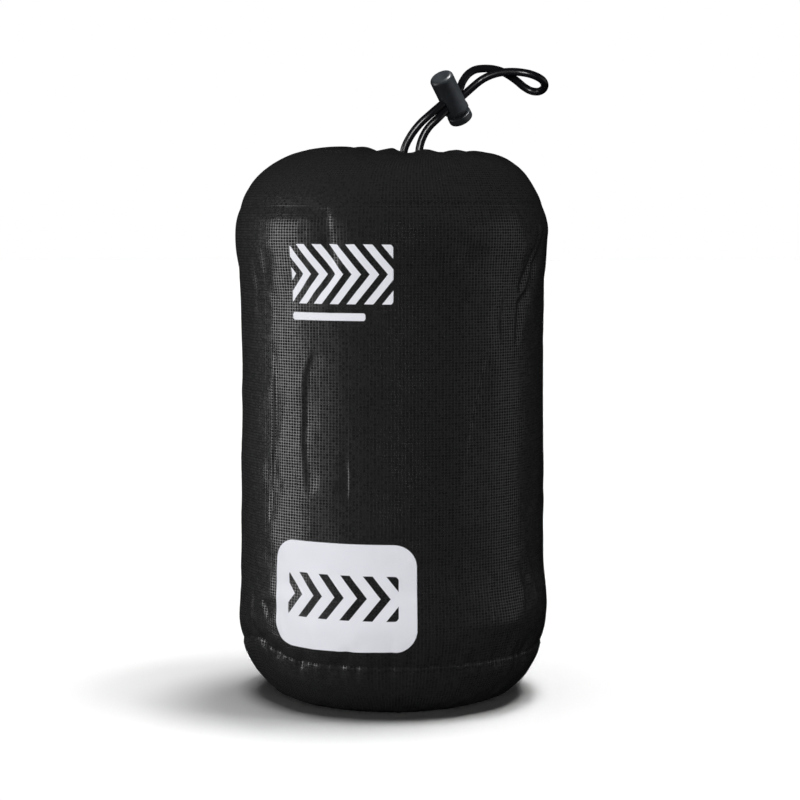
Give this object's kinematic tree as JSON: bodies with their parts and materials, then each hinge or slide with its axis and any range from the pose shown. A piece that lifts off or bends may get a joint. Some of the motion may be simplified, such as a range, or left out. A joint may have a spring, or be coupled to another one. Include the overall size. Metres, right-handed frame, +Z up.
{
  "type": "packed bicycle cover in a drawstring stuff sack",
  "caption": "Bicycle cover packed in an upright filled stuff sack of black ripstop, with a round base, a drawcord-gathered top and a cord lock on the cord's loop.",
  "frame": {"origin": "on the surface it stands on, under the middle of the sack's box without the cord and its lock", "axes": "+Z up along the sack, -Y towards the front that the picture shows, +X to the right seen from the front"},
  "size_m": [0.1561, 0.1555, 0.3148],
  "materials": {
    "sack_cloth": "coated ripstop, soft sheen",
    "cord": "braided elastic cord",
    "lock_plastic": "moulded, satin"
  },
  "bodies": {
    "sack": {"side_panel": "sack_cloth", "base_panel": "sack_cloth", "top_panel": "sack_cloth", "drawcord": "cord", "lock_barrel": "lock_plastic"},
    "plunger": {"lock_plunger": "lock_plastic"}
  },
  "joints": [
    {"name": "plunger_press", "type": "slide", "parent": "sack", "child": "plunger", "axis": [-0.4012, -0.5, 0.7675], "range_m": [0, 0.0012], "stiffness_N_per_m": 600, "springref_m": -0.001}
  ]
}
